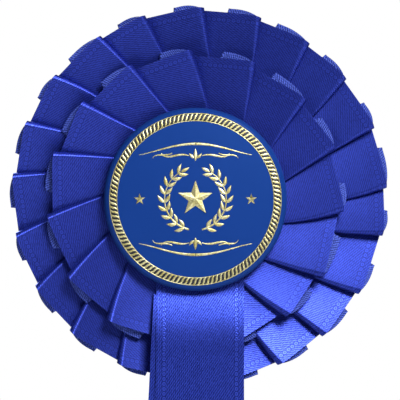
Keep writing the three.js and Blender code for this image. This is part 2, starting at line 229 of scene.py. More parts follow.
def new_group(name, inputs, outputs):
    """An empty shader group with named inputs, each with its kind and start value, and outputs."""
    tree = bpy.data.node_groups.new(name, "ShaderNodeTree")
    for title, kind, start in inputs:
        socket = tree.interface.new_socket(title, in_out="INPUT", socket_type=kind)
        if start is not None:
            socket.default_value = start
    for title, kind in outputs:
        tree.interface.new_socket(title, in_out="OUTPUT", socket_type=kind)
    return tree, Nodes(tree), tree.nodes.new("NodeGroupInput"), tree.nodes.new("NodeGroupOutput")


FLOAT, VECTOR = "NodeSocketFloat", "NodeSocketVector"

# Mottle: two sizes of soft noise on the piece's own coordinates, as a value round one half.
mottle_tree, mottle, mottle_in, mottle_out = new_group(
    "mottle",
    [("Position", VECTOR, None), ("Coarse per metre", FLOAT, 100.0), ("Fine per metre", FLOAT, 900.0)],
    [("Value", FLOAT)],
)
place_in, coarse_in, fine_in = mottle_in.outputs[:3]
coarse_noise = mottle.add("ShaderNodeTexNoise", Vector=place_in, Scale=coarse_in, Detail=3.0)
fine_noise = mottle.add("ShaderNodeTexNoise", Vector=place_in, Scale=fine_in, Detail=2.0)
both_noises = mottle.math("ADD", coarse_noise.outputs["Fac"], fine_noise.outputs["Fac"])
mottle_tree.links.new(mottle.math("MULTIPLY", both_noises, 0.5), mottle_out.inputs[0])


def add_mottle(nodes, coarse, fine, place=None):
    """Places the mottle group on Object coordinates, or others, and returns its value."""
    place = place or nodes.add("ShaderNodeTexCoord").outputs["Object"]
    group = nodes.add("ShaderNodeGroup", {"node_tree": mottle_tree})
    nodes.tree.links.new(place, group.inputs[0])
    group.inputs[1].default_value = coarse
    group.inputs[2].default_value = fine
    return group.outputs[0]


def paint(nodes, shader, value, dark, light, rough=None):
    """Colours a shader from dark to light by a value, and, if a pair of roughnesses is given, takes
    its roughness from the first to the second by the same value."""
    nodes.tree.links.new(nodes.blend(value, dark, light), shader.inputs["Base Color"])
    if rough:
        nodes.tree.links.new(nodes.ramp(value, 0.0, 1.0, *rough), shader.inputs["Roughness"])


def board_material(name, light, dark, roughness):
    """Uncoated board: mottled fibres, with a fine tooth in the bump."""
    material, nodes, shader = new_material(name, Roughness=roughness)
    value = add_mottle(nodes, 260, 2600)
    paint(nodes, shader, nodes.ramp(value, 0.38, 0.62), dark, light)
    bump = nodes.add("ShaderNodeBump", Strength=0.25, Distance=0.0002, Height=value)
    nodes.tree.links.new(bump.outputs[0], shader.inputs["Normal"])
    return material


node_objects = frame["nodes"]


def dress(node_name, material):
    """Gives a CAD node its finish."""
    slots = node_objects[node_name].data.materials
    slots.clear()
    slots.append(material)


def put_mesh(name, points, faces, materials, uv=None, face_materials=None, smooth=True):
    """A mesh object from arrays of points and faces, with a UV for each point if given. Materials
    and smoothness may be given for each face."""
    mesh = bpy.data.meshes.new(name)
    mesh.from_pydata(np.asarray(points).tolist(), [], [list(map(int, face)) for face in faces])
    for material in materials:
        mesh.materials.append(material)
    if uv is not None:
        layer = mesh.uv_layers.new(name="UVMap")
        corner_points = np.empty(len(mesh.loops), np.int32)
        mesh.loops.foreach_get("vertex_index", corner_points)
        layer.data.foreach_set("uv", np.asarray(uv, np.float32)[corner_points].ravel())
    if face_materials is not None:
        mesh.polygons.foreach_set("material_index", np.asarray(face_materials, np.int32))
    mesh.polygons.foreach_set("use_smooth", np.array(np.broadcast_to(smooth, len(mesh.polygons))))
    mesh.update()
    piece = bpy.data.objects.new(name, mesh)
    bpy.context.scene.collection.objects.link(piece)
    return piece


white_board = board_material("white_board", (0.78, 0.77, 0.74, 1), (0.70, 0.69, 0.66, 1), 0.85)
dress("back_card", white_board)

# ---------------------------------------------------------------------------------------------
# Inner cards, tape and glue: grey board discs that the tiers are stapled to, double-sided foam
# tape, and pucks of set hot-melt glue. They hardly show between the layers from the side.

grey_board = board_material("grey_board", (0.42, 0.37, 0.30, 1), (0.30, 0.26, 0.21, 1), 0.9)
foam_tape = board_material("foam_tape", (0.82, 0.82, 0.78, 1), (0.70, 0.70, 0.66, 1), 0.75)
for card_name in ("outer_tier_card", "inner_tier_card"):
    dress(card_name, grey_board)
for tape_name in ("back_card_tape", "brooch_pad"):
    dress(tape_name, foam_tape)

set_glue, glue_nodes, glue_shader = new_material("set_glue", Roughness=0.4)
glue_shader.inputs["Subsurface Weight"].default_value = 0.3
glue_shader.inputs["Subsurface Radius"].default_value = (0.002, 0.0016, 0.001)
glue_value = add_mottle(glue_nodes, 180, 900)
paint(glue_nodes, glue_shader, glue_value, (0.62, 0.52, 0.34, 1), (0.85, 0.78, 0.60, 1))
for puck_name in ("tier_glue_puck", "badge_glue_puck"):
    dress(puck_name, set_glue)

# ---------------------------------------------------------------------------------------------
# Satin ribbon, 24 mm wide: polyester warp floats give a glossy blue face, and the back is a matt
# coarse twill. A row of small oval stitches runs 2 mm inside each woven edge.

ribbon_width = 0.024
ribbon_thickness = 0.00022
stitch_inset = 0.0021
stitch_pitch = 0.00135
stitch_size = (0.00115, 0.0010)
float_pitch = 0.00055
crease_inset, crease_half_width = 0.0008, 0.00022

# Weave: the first output has the twill lines broken into short floats, with a painted highlight on
# the ovals of the two edge stitch rows and a painted shade round each, as the stitches are of the
# ribbon's own colour. Height is the same less a faint crease outside the rows. The UV is in metres,
# and its first number runs along the ribbon and its second across it.
weave_tree, weave, weave_in, weave_out = new_group(
    "ribbon_weave",
    [("UV", VECTOR, None), ("Twill pitch", FLOAT, 0.0011), ("Twill slope", FLOAT, 1.54)],
    [("Threads and painted stitch light", FLOAT), ("Height", FLOAT)],
)
split_uv = weave.add("ShaderNodeSeparateXYZ", Vector=weave_in.outputs[0])
along, across = split_uv.outputs[0], split_uv.outputs[1]
slanted = weave.math("ADD", along, weave.math("MULTIPLY", across, weave_in.outputs[2]))
turns = weave.math("DIVIDE", slanted, weave_in.outputs[1])
twill_wave = weave.math("SINE", weave.math("MULTIPLY", turns, 2 * math.pi))
float_wave = weave.math("SINE", weave.math("MULTIPLY", across, 2 * math.pi / float_pitch))
thread_noise = weave.add(
    "ShaderNodeTexNoise", Vector=weave_in.outputs[0], Scale=1500.0, Detail=2.0, Roughness=0.6
).outputs["Fac"]
twill_share = weave.math("MULTIPLY", twill_wave, 0.26)
float_share = weave.math("MULTIPLY", float_wave, 0.12)
twill_raw = weave.math("ADD", twill_share, float_share)
twill_raw = weave.math("ADD", twill_raw, weave.math("MULTIPLY", thread_noise, 0.9))
twill_line = weave.ramp(twill_raw, 0.05, 0.85)
from_edge = weave.math("SUBTRACT", ribbon_width / 2, weave.math("ABSOLUTE", across))
oval_across = weave.math("DIVIDE", weave.math("SUBTRACT", from_edge, stitch_inset), stitch_size[1] / 2)
oval_along = weave.math("SUBTRACT", weave.math("PINGPONG", along, stitch_pitch / 2), stitch_pitch / 2)
oval_along = weave.math("DIVIDE", oval_along, stitch_size[0] / 2)
across_square = weave.math("MULTIPLY", oval_across, oval_across)
along_square = weave.math("MULTIPLY", oval_along, oval_along)
oval_square = weave.math("ADD", across_square, along_square)
oval = weave.ramp(oval_square, 0.75, 1.1, 1.0, 0.0)
# Painted highlight on each stitch oval, dimmer in its eye; it lightens the colour and raises the bump.
stitch_painted_highlight = weave.math("MULTIPLY", oval, weave.ramp(oval_square, 0.05, 0.4, 0.4, 1.0))
# Painted shade: the twill is darkened and lowered in a gap round each stitch oval.
oval_shade = weave.ramp(oval_square, 0.95, 2.6, 0.0, 1.0)
threads_and_stitch_light = weave.math("MULTIPLY", twill_line, oval_shade)
threads_and_stitch_light = weave.math("ADD", threads_and_stitch_light, weave.math("MULTIPLY", stitch_painted_highlight, 1.15))
crease_offset = weave.math("ABSOLUTE", weave.math("SUBTRACT", from_edge, crease_inset))
crease = weave.ramp(crease_offset, 0.0, crease_half_width, 1.0, 0.0)
height = weave.math("SUBTRACT", threads_and_stitch_light, weave.math("MULTIPLY", crease, 0.4))
weave_tree.links.new(threads_and_stitch_light, weave_out.inputs[0])
weave_tree.links.new(height, weave_out.inputs[1])


def ribbon_material(name, dark, light, pitch, slope, relief, rough_low, rough_high, **settings):
    """One side of the ribbon: colours and gloss that follow the woven twill and edge stitches, with
    a painted highlight on the stitches and a painted shade round them.
    """
    material, nodes, shader = new_material(name, **settings)
    group = nodes.add("ShaderNodeGroup", {"node_tree": weave_tree})
    uv = nodes.add("ShaderNodeUVMap", {"uv_map": "UVMap"}).outputs[0]
    nodes.tree.links.new(uv, group.inputs[0])
    group.inputs[1].default_value = pitch
    group.inputs[2].default_value = slope
    cloudy = nodes.ramp(add_mottle(nodes, 45, 400, uv), 0.3, 0.7, -0.1, 0.1)
    # The colour follows the twill and a random mottle, with the painted stitch highlight and shade.
    lit = nodes.math("ADD", group.outputs["Threads and painted stitch light"], cloudy, clamp=True)
    paint(nodes, shader, lit, dark, light)
    rough = nodes.ramp(group.outputs["Threads and painted stitch light"], 0.0, 1.0, rough_high, rough_low)
    nodes.tree.links.new(rough, shader.inputs["Roughness"])
    bump = nodes.add("ShaderNodeBump", Strength=relief, Distance=0.0001, Height=group.outputs["Height"])
    nodes.tree.links.new(bump.outputs[0], shader.inputs["Normal"])
    length_way = nodes.add("ShaderNodeTangent", {"direction_type": "UV_MAP", "uv_map": "UVMap"})
    nodes.tree.links.new(length_way.outputs[0], shader.inputs["Tangent"])
    return material


# The tails' glossy face; the pleats' face, the same satin with a flatter weave, painted darker and
# with less contrast than the tails' face as painted shade; and the matt back, whose twill slants the
# other way.
blue_shine = (0.4, 0.5, 1.0, 1)
face_pitch, face_slope = 0.00108, 1.54
back_pitch, back_slope = 0.0009, -0.9
satin_face = ribbon_material(
    "satin_face", (0.006, 0.011, 0.13, 1), (0.034, 0.062, 0.47, 1),
    face_pitch, face_slope, relief=0.2, rough_low=0.30, rough_high=0.42,
    Metallic=0.62, Anisotropic=0.6, Anisotropic_Rotation=0.25, Specular_Tint=blue_shine,
)
shaded_satin_pleats = ribbon_material(
    "shaded_satin_pleats", (0.008, 0.013, 0.135, 1), (0.020, 0.037, 0.31, 1),
    face_pitch, face_slope, relief=0.08, rough_low=0.34, rough_high=0.43,
    Metallic=0.62, Anisotropic=0.35, Anisotropic_Rotation=0.25, Specular_Tint=blue_shine,
)
satin_back = ribbon_material(
    "satin_back", (0.006, 0.012, 0.11, 1), (0.050, 0.082, 0.42, 1),
    back_pitch, back_slope, relief=0.6, rough_low=0.62, rough_high=0.8,
    Specular_Tint=blue_shine,
)


def paired_grids(rows, columns):
    """Quads of a closed slab made of two grids of points, the outer grid's points first. The outer
    grid keeps the winding row x column, the inner one is reversed, and a band joins their rims.
    Also returns each quad's side: 0 outer, 1 inner, 2 rim."""
    index = np.arange(rows * columns).reshape(rows, columns)
    a, b = index[:-1, :-1], index[1:, :-1]
    c, d = index[1:, 1:], index[:-1, 1:]
    outer = np.stack([a, b, c, d], -1).reshape(-1, 4)
    under = rows * columns
    inner = np.stack([a, d, c, b], -1).reshape(-1, 4) + under
    rim = np.concatenate([index[:, 0], index[-1, 1:], index[-2::-1, -1], index[0, -2:0:-1]])
    following = np.roll(rim, -1)
    band = np.stack([rim, rim + under, following + under, following], -1)
    sides = np.repeat([0, 1, 2], [len(outer), len(inner), len(band)])
    return np.concatenate([outer, inner, band]), sides


def edge_spaced(low, high, count):
    """Shares from low to high: the two ends, and even steps between points a hair inside them. The
    narrow columns keep a ribbon's shading flat right up to its edges."""
    hair_share = 0.0015
    hair = hair_share * (high - low)
    return np.concatenate([[low], np.linspace(low + hair, high - hair, count - 2), [high]])


def grid_normals(points):
    """Unit normals of a grid of points: the cross product of its row and column gradients."""
    normal = np.cross(np.gradient(points, axis=0), np.gradient(points, axis=1))
    return normal / (np.linalg.norm(normal, axis=2, keepdims=True) + 1e-12)


def put_ribbon(name, points, normal, along, across, satin):
    """A closed strip of ribbon from a grid of middle-surface points of shape (rows, columns, 3).
    The face lies half the thickness out along the grid's normal, the back half the thickness the
    other way, and quads close the four edges. along and across give the grid's UV in metres. The
    face is of the given satin, and the back and the edges are matt twill."""
    offset = normal * ribbon_thickness / 2
    shell = np.concatenate([(points + offset).reshape(-1, 3), (points - offset).reshape(-1, 3)])
    faces, sides = paired_grids(*points.shape[:2])
    uv = np.stack(np.broadcast_arrays(along, across), -1).reshape(-1, 2)
    uv = np.concatenate([uv, uv])
    piece = put_mesh(name, shell, faces, [satin, satin_back], uv, np.minimum(sides, 1), sides < 2)
    return piece


# ---------------------------------------------------------------------------------------------
# Outer tier: one ribbon in 21 knife pleats, gathered flat at its inner edge and stapled to its
# card. Each panel climbs clockwise from under its neighbour to a soft fold, turns back beneath
# itself and forward again. The turned-back layer leans out past the panel and shows its back.


def pleated_tier(name, node, pleats, first_fold, strip, pitch_length, seed):
    """A closed ring of knife pleats in the ribbon's strip frame. Panel k is a straight strip whose
    edges lie strip[0] and strip[1] from the centre, square to a direction that turns by a full
    turn over the pleats. Its two fold lines are x = +-(pitch_length / 2 - (far - y) tan(turn / 4)),
    with far = pitch_length / (2 tan(turn / 2)), which lets a straight ribbon turn about the centre
    without stretching. The ribbon runs as a zigzag of ruled surfaces between those lines. A
    panel's height is the fold's height times share * (1 - hollow * (1 - share)), plus a bulge less a
    sag, both times sin(pi * share). The turned-back layer falls in a straight line and is bowed
    outwards by a sine. Half circles join them, of the loop's radius at the fold and 0.35 of it at
    the hidden base. A fold line is bowed by up to fold_bow * sin(pi * share_out). Its outer corner is
    drawn in by corner_drop, which fades exponentially over corner_reach away from the fold line.
    Pleats under the tails are pressed lower."""
    low, high = (np.array(corner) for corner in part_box(node))
    centre = (low + high) / 2
    back = high[1]
    turn = 2 * math.pi / pleats
    lean = math.tan(turn / 4)
    far = pitch_length / (2 * math.tan(turn / 2))
    edge_rise, outer_rise, puff, sag = 0.0015, 0.0057, 0.0002, 0.0026
    loop, fold_bow, lip_bow = (0.00018, 0.0014), 0.0009, 0.0004
    chance = np.random.default_rng(seed)
    share_out = edge_spaced(0, 1, 19)
    y = strip[0] + (strip[1] - strip[0]) * share_out
    half_panel = pitch_length / 2 - (far - y) * lean
    fold_height = edge_rise + (outer_rise - edge_rise) * share_out ** 1.15
    loop_radius = loop[0] + (loop[1] - loop[0]) * share_out ** 1.6
    base_radius = 0.35 * loop_radius
    bulge, hollow = puff * share_out, 0.45 * share_out
    corner_drop, corner_reach = 0.0007 * share_out ** 6, 0.0016
    first_turn = math.radians(first_fold) - math.atan2(half_panel[-1], y[-1])

    angle_jitter = chance.uniform(-0.08, 0.08, pleats) * turn
    rise_jitter = chance.uniform(0.86, 1.1, pleats)
    bulge_jitter = chance.uniform(0.6, 1.15, pleats)
    bow_jitter = chance.uniform(-0.4, 1.0, pleats)
    fold_angle = math.radians(first_fold) + turn * np.arange(pleats)
    tails_angle, tails_spread, tails_press = math.pi, math.radians(28), 0.25
    under_tails = np.exp(-((fold_angle - tails_angle) / tails_spread) ** 4)
    rise_jitter *= 1 - tails_press * under_tails

    def fold_line(pleat, side):
        """Plan points of a panel's fold line: side +1 is its clockwise fold, -1 its hidden start."""
        number = pleat % pleats
        turned = first_turn + number * turn + angle_jitter[number]
        bow = fold_bow * bow_jitter[number] * np.sin(math.pi * share_out)
        x = side * half_panel + (bow if side > 0 else 0)
        across_x = x * math.cos(turned) + y * math.sin(turned)
        across_z = -x * math.sin(turned) + y * math.cos(turned)
        return np.stack([across_x, across_z], -1)

    def drawn_in(plan, distance):
        """Plan points moved towards the tier's centre by a distance."""
        return plan * (1 - distance / np.linalg.norm(plan, axis=-1))[..., None]

    def mid_steps(steps):
        """The middle of each of a number of even steps from 0 to 1, as a column."""
        return (np.linspace(0, 1, steps, endpoint=False) + 0.5 / steps)[:, None]

    panel_steps, loop_steps, return_steps = 26, 7, 12
    panel_share, return_share = mid_steps(panel_steps), mid_steps(return_steps)
    loop_angle = np.linspace(0, math.pi, loop_steps)[:, None]
    rows = []
    for pleat in range(pleats):
        start, fold, end = fold_line(pleat, -1), fold_line(pleat, 1), fold_line(pleat + 1, -1)
        top = fold_height * rise_jitter[pleat]
        swell = bulge * bulge_jitter[pleat]
        panel_vector, return_vector = fold - start, end - fold
        panel_length = np.linalg.norm(panel_vector, axis=1)
        return_length = np.linalg.norm(return_vector, axis=1)
        panel_way = panel_vector / panel_length[:, None]
        return_way = return_vector / return_length[:, None]
        # panel, from the loop at its start to the loop at its fold
        reach = base_radius + (panel_length - base_radius - loop_radius) * panel_share
        plan = start + panel_way * reach[..., None]
        plan = drawn_in(plan, corner_drop * np.exp((reach - panel_length) / corner_reach))
        climb = top * panel_share * (1 - hollow * (1 - panel_share))
        climb = climb + (swell - sag * share_out * (1 - share_out)) * np.sin(math.pi * panel_share)
        rows.append(np.concatenate([plan, climb[..., None]], -1))
        # half circle over the fold
        past = panel_length - loop_radius + loop_radius * np.sin(loop_angle)
        plan = start + panel_way * past[..., None]
        plan = drawn_in(plan, corner_drop * np.exp((past - panel_length) / corner_reach))
        height_here = top - loop_radius * (1 - np.cos(loop_angle))
        rows.append(np.concatenate([plan, height_here[..., None]], -1))
        # turned-back layer, bowed outwards
        reach = loop_radius + (return_length - base_radius - loop_radius) * return_share
        plan = fold + return_way * reach[..., None]
        lip = lip_bow * share_out ** 2 * np.sin(math.pi * return_share)
        plan = drawn_in(plan, corner_drop * np.exp(-reach / corner_reach) - lip)
        fall = top - 2 * loop_radius + (2 * base_radius + 2 * loop_radius - top) * return_share
        rows.append(np.concatenate([plan, fall[..., None]], -1))
        # half circle under the next panel's start
        past = return_length - base_radius + base_radius * np.sin(loop_angle)
        plan = fold + return_way * past[..., None]
        height_here = base_radius * (1 + np.cos(loop_angle))
        rows.append(np.concatenate([plan, height_here[..., None]], -1))
    local = np.concatenate(rows + [rows[0][:1]])
    points = np.empty(local.shape)
    points[..., 0] = centre[0] + local[..., 0]
    points[..., 2] = centre[2] + local[..., 1]
    points[..., 1] = back - ribbon_thickness - local[..., 2]
    middle = len(share_out) // 2
    steps = np.linalg.norm(np.diff(points[:, middle], axis=0), axis=1)
    along = np.concatenate([[0], np.cumsum(steps)])[:, None]
    across = (ribbon_width * (share_out - 0.5))[None, :]
    # The pleats take the satin painted darker than the tails', as painted shade.
    piece = put_ribbon(name, points, grid_normals(points), along, across, shaded_satin_pleats)
    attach(piece, "rosette")
    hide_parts(node)


pleated_tier(
    "outer_tier_pleats", "outer_tier_ribbon", pleats=21, first_fold=1, strip=(0.0268, 0.0508),
    pitch_length=0.0333, seed=7,
)

# ---------------------------------------------------------------------------------------------
# Inner tier: a second length of the same satin ribbon in 15 knife pleats. It is stapled to the
# smaller card, and the badge covers its gathered inner edge.

pleated_tier(
    "inner_tier_pleats", "inner_tier_ribbon", pleats=15, first_fold=0, strip=(0.0152, 0.0392),
    pitch_length=0.0365, seed=11,
)

# ---------------------------------------------------------------------------------------------
# Staples: galvanised wire, flat crowns on the ribbons' inner edges and legs clinched behind the
# cards.


def metal_material(name, colour, dull, roughness, coarse=300):
    """Bright metal with faint cloudy tarnish in its colour and gloss."""
    material, nodes, shader = new_material(name, Metallic=1.0)
    value = nodes.ramp(add_mottle(nodes, coarse, 3000), 0.35, 0.65)
    paint(nodes, shader, value, dull, colour, (roughness * 1.5, roughness))
    return material


staple_wire = metal_material("staple_wire", (0.72, 0.72, 0.74, 1), (0.5, 0.5, 0.52, 1), 0.3)
for node_name in node_objects:
    if "staple" in node_name:
        dress(node_name, staple_wire)

# ---------------------------------------------------------------------------------------------
# Tails: one length of the ribbon, folded under the badge, so that two tails hang. The rear one fans
# out three degrees. Each leaves the badge's lower edge, rides over the tiers and hangs in slight
# waves to a swallow-tail. The front one is continuous with the fold, which a staple holds.

fold_low, fold_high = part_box("tails_fold")
front_low, rear_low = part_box("tail_front")[0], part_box("tail_rear")[0]
tail_joint = next(joint for joint in frame["joints"] if joint["name"] == "tails_lift")
hinge_line = np.array(tail_joint["pos_m"])
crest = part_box("inner_tier_ribbon")[0][2]
tails_shift = 0.0013
box_inset, rear_end_inset = 0.0002, 0.0008
tail_spacing = 0.0006
bend_reach, bend_steps, hang_steps = 0.012, 20, 199
seam_gap = 0.00003
notch_depth = 0.011
slow_wave, quick_wave, cupping = 0.0009, 0.0004, 0.0006
fan_pivot = badge_centre[2] - 0.0135
front_depth = fold_low[1] + box_inset
rear_depth = front_depth + tail_spacing
front_hang = front_low[1] + box_inset
rear_hang = rear_low[1] + box_inset
side_share = edge_spaced(-1, 1, 25)


def hanging_points(drop, bottom, depths, fan_degrees, stand_off):
    """Points of a strip at each drop below the hinge line and each share of its half width. Its
    depth goes from the first to the second of depths along a quarter sine to the tier's edge. Below
    that it has waves of 2.2 and 5 half turns, which set in over the first fifth, a cupping of 3
    half turns and a growing stand-off. The strip is turned by the fan angle about the fan pivot."""
    z = hinge_line[2] - drop
    over = np.clip(drop / (hinge_line[2] - crest), 0, 1)
    below = np.clip((crest - z) / (crest - bottom), 0, 1)
    settled = np.clip(below / 0.2, 0, 1) ** 2
    waves = slow_wave * np.sin(2.2 * math.pi * below) + quick_wave * np.sin(5 * math.pi * below)
    wave = settled * waves
    cup = cupping * side_share ** 2 * np.sin(3 * math.pi * below)
    y = depths[0] + (depths[1] - depths[0]) * np.sin(over * math.pi / 2)
    y = y + wave + cup - stand_off * below ** 1.5
    x = ribbon_width / 2 * side_share
    fan = math.radians(fan_degrees)
    hung = z - fan_pivot
    fanned_x = badge_centre[0] + tails_shift + x * math.cos(fan) + hung * math.sin(fan)
    fanned_z = fan_pivot - x * math.sin(fan) + hung * math.cos(fan)
    return np.stack([fanned_x, y, fanned_z], -1)


def tail_drops(length):
    """Drops below the hinge line: rows to the end of the bend and on to the tail's end, close
    together at the end of the bend, and drawn up in the middle by the notch times the sixth power
    of the share of the way."""
    bend_rows = np.linspace(0, bend_reach, bend_steps + 1)[:-1]
    seam_rows = bend_reach + seam_gap * np.array([-1, 0, 1])
    hang_rows = np.linspace(bend_reach, length, hang_steps + 1)[1:]
    way = np.concatenate([bend_rows, seam_rows, hang_rows])[:, None]
    return way - notch_depth * (1 - np.abs(side_share)) * (way / length) ** 6


# The fold and the front tail are one strip: up behind, round, down in front and on over the tier.
# Above the hinge line the front layer leans back by a quarter sine, so that no crease shows.

lean_reach, lean_back = 0.0035, 0.00045
fold_radius = 0.00028
round_height = fold_high[2] - fold_radius
turn_angle = np.linspace(0, math.pi, 13)[1:-1]
rear_z = np.linspace(hinge_line[2], round_height, 50)
front_z = np.linspace(round_height, hinge_line[2], 60)[:-1]
lean_share = np.clip((front_z - hinge_line[2]) / lean_reach, 0, 1)
front_y = front_depth + lean_back * np.sin(lean_share * math.pi / 2)
rear_y = np.full(len(rear_z), front_y[0] + 2 * fold_radius)
round_y = front_y[0] + fold_radius * (1 + np.cos(turn_angle))
round_z = round_height + fold_radius * np.sin(turn_angle)
fold_y = np.concatenate([rear_y, round_y, front_y])
fold_z = np.concatenate([rear_z, round_z, front_z])
fold_points = np.empty((len(fold_y), len(side_share), 3))
fold_points[..., 0] = badge_centre[0] + tails_shift + side_share * ribbon_width / 2
fold_points[..., 1] = fold_y[:, None]
fold_points[..., 2] = fold_z[:, None]
fold_steps = np.hypot(np.diff(fold_y), np.diff(fold_z))
fold_along = np.concatenate([[0], np.cumsum(fold_steps)])

front_stand_off = 0.0016
front_bottom = front_low[2] + box_inset
front_length = hinge_line[2] - front_bottom
front_drops = tail_drops(front_length)
front_points = hanging_points(
    front_drops, front_bottom, (front_depth, front_hang), fan_degrees=0, stand_off=front_stand_off
)
strip_points = np.concatenate([fold_points, front_points])
strip_normals = grid_normals(strip_points)
fold_total = fold_along[-1] + (front_z[-1] - hinge_line[2])
fold_grid_along = np.repeat(fold_along[:, None], len(side_share), axis=1)
strip_along = np.concatenate([fold_grid_along, fold_total + front_drops])
strip_across = side_share * ribbon_width / 2

# The two pieces share the middle one of the three rows at the end of the bend.

seam = len(fold_points) + bend_steps + 1
top_rows, front_rows = slice(0, seam + 1), slice(seam, None)
tails_top = put_ribbon(
    "tails_folded_top", strip_points[top_rows], strip_normals[top_rows], strip_along[top_rows],
    strip_across, satin_face,
)
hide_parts("tails_fold")
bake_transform(tails_top)

front_tail = put_ribbon(
    "tail_front_ribbon", strip_points[front_rows], strip_normals[front_rows], strip_along[front_rows],
    strip_across, satin_face,
)
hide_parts("tail_front")
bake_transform(front_tail)

# The rear tail starts behind the fold's front layer.

rear_bottom = rear_low[2] + rear_end_inset
rear_length = hinge_line[2] - rear_bottom
rear_drops = tail_drops(rear_length)
rear_points = hanging_points(
    rear_drops, rear_bottom, (rear_depth, rear_hang), fan_degrees=3, stand_off=0.0
)
rear_tail = put_ribbon(
    "tail_rear_ribbon", rear_points, grid_normals(rear_points), rear_drops, strip_across, satin_face
)
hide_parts("tail_rear")
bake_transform(rear_tail)

# ---------------------------------------------------------------------------------------------
# Button badge: a tinplate shell with a blue print wrapped over it under clear film, closed by a
# pressed back plate and glued on. The print's colour and the film's gloss show as one blue face.

film_badge, film_nodes, film_shader = new_material(
    "filmed_print", Roughness=0.45, Coat_Weight=0.03, Coat_Roughness=0.05, Specular_IOR_Level=0.12,
    Specular_Tint=(0.2, 0.45, 1.0, 1),
)
film_value = add_mottle(film_nodes, 120, 2200)
paint(film_nodes, film_shader, film_value, (0.004, 0.024, 0.14, 1), (0.006, 0.030, 0.165, 1))


def turned_surface(profile, segments):
    """A closed surface of revolution about the badge's axis. Its rings are the profile's (radius,
    forward depth) points, front to back, at radius * sin and radius * cos of each segment's angle.
    A cone of triangles closes the first ring to a pole at its own depth, and the last likewise."""
    radius, depth = np.array(profile).T
    angle = 2 * math.pi * np.arange(segments) / segments
    rings = np.empty((len(radius), segments, 3))
    rings[..., 0] = badge_centre[0] + radius[:, None] * np.sin(angle)
    rings[..., 1] = badge_high[1] - depth[:, None]
    rings[..., 2] = badge_centre[2] + radius[:, None] * np.cos(angle)
    index = np.arange(rings[..., 0].size).reshape(len(radius), segments)
    after = np.roll(index, -1, axis=1)
    quads = np.stack([index[:-1], index[1:], after[1:], after[:-1]], -1).reshape(-1, 4)
    poles = [(badge_centre[0], badge_high[1] - depth[end], badge_centre[2]) for end in (0, -1)]
    first_pole, last_pole = np.full(segments, index.size), np.full(segments, index.size + 1)
    first_cone = np.stack([first_pole, index[0], after[0]], -1)
    last_cone = np.stack([last_pole, after[-1], index[-1]], -1)
    return np.concatenate([rings.reshape(-1, 3), poles]), [*quads, *first_cone, *last_cone]


badge_depth = badge_high[1] - badge_low[1]
face_crown = 0.0012
rim_round = 0.0025
face_radius = badge_radius - rim_round


def face_depth(radius):
    """Forward depth of the badge's crowned face at a radius: a parabola that falls by the crown."""
    return badge_depth - face_crown * (radius / face_radius) ** 2


# The profile runs over the face, round the rim, down the wall, round its lower edge and back inside.

wrap_thickness = 0.0006
face_steps, rim_steps = 14, 16
face_radii = [face_radius * step / face_steps for step in range(1, face_steps)]
badge_profile = [(radius, face_depth(radius)) for radius in face_radii]
rim_angles = [math.radians(90 - 90 * step / rim_steps) for step in range(rim_steps + 1)]
rim_centre_depth = badge_depth - face_crown - rim_round
badge_profile += [
    (face_radius + rim_round * math.cos(angle), rim_centre_depth + rim_round * math.sin(angle))
    for angle in rim_angles
]
inside_radius = badge_radius - wrap_thickness
inside_centre_radius = 0.002
badge_profile += [
    (badge_radius, 0.0004),
    (badge_radius - 0.0002, 0.0001),
    (inside_radius, 0.0),
    (inside_radius, rim_centre_depth),
    (face_radius, badge_depth - face_crown - wrap_thickness),
    (inside_centre_radius, badge_depth - wrap_thickness),
]
badge_points, badge_faces = turned_surface(badge_profile, 128)
badge_print = put_mesh("badge_filmed_print", badge_points, badge_faces, [film_badge])
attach(badge_print, "rosette")
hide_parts("badge_film", "badge_print")

# The shell and back plate under the print are bare tinplate.

tinplate = metal_material(
    "tinplate", (0.70, 0.71, 0.73, 1), (0.52, 0.53, 0.55, 1), roughness=0.28, coarse=150
)
for plate_name in ("badge_shell", "badge_back_plate"):
    dress(plate_name, tinplate)

# ---------------------------------------------------------------------------------------------
# Gold foil stamped on the badge: a twisted-rope border, a laurel wreath round a star, scrolls
# above and below, and a small star each side. It stands a hair above the print.

gold_foil, gold_nodes, gold_shader = new_material("gold_foil", Metallic=1.0)
gold_value = gold_nodes.ramp(add_mottle(gold_nodes, 500, 2600), 0.35, 0.65)
paint(
    gold_nodes, gold_shader, gold_value, (0.34, 0.29, 0.10, 1), (0.66, 0.62, 0.36, 1),
    rough=(0.52, 0.40),
)
gold_ground, ground_nodes, ground_shader = new_material("gold_ground", Metallic=0.8, Roughness=0.5)
ground_value = add_mottle(ground_nodes, 500, 2600)
paint(ground_nodes, ground_shader, ground_value, (0.010, 0.014, 0.030, 1), (0.040, 0.038, 0.035, 1))

foil_sink = 0.00003
foil_parts = []


def badge_surface(radius):
    """Forward depth of the badge's front at a radius: the crowned face, then the round rim's arc."""
    past_face = np.clip(radius - face_radius, 0, rim_round)
    on_rim = rim_centre_depth + np.sqrt(rim_round ** 2 - past_face ** 2)
    return np.where(radius < face_radius, face_depth(radius), on_rim)


def on_badge(plan, lift):
    """Points that stand a lift in front of the badge's face, from (x, z) about its centre."""
    depth = badge_surface(np.linalg.norm(plan, axis=-1))
    points = np.empty(plan.shape[:-1] + (3,))
    points[..., 0] = badge_centre[0] + plan[..., 0]
    points[..., 1] = badge_high[1] - depth - lift
    points[..., 2] = badge_centre[2] + plan[..., 1]
    return points


def stamp(plan, rise, material_index=0):
    """Adds a closed foil patch from a grid of (x, z) points about the badge's centre and their
    rises above the face. Its underside is sunk a little into the face."""
    front, back = on_badge(plan, rise), on_badge(plan, -foil_sink)
    quads, _ = paired_grids(*plan.shape[:2])
    points = np.concatenate([front.reshape(-1, 3), back.reshape(-1, 3)])
    foil_parts.append((points, quads, material_index))


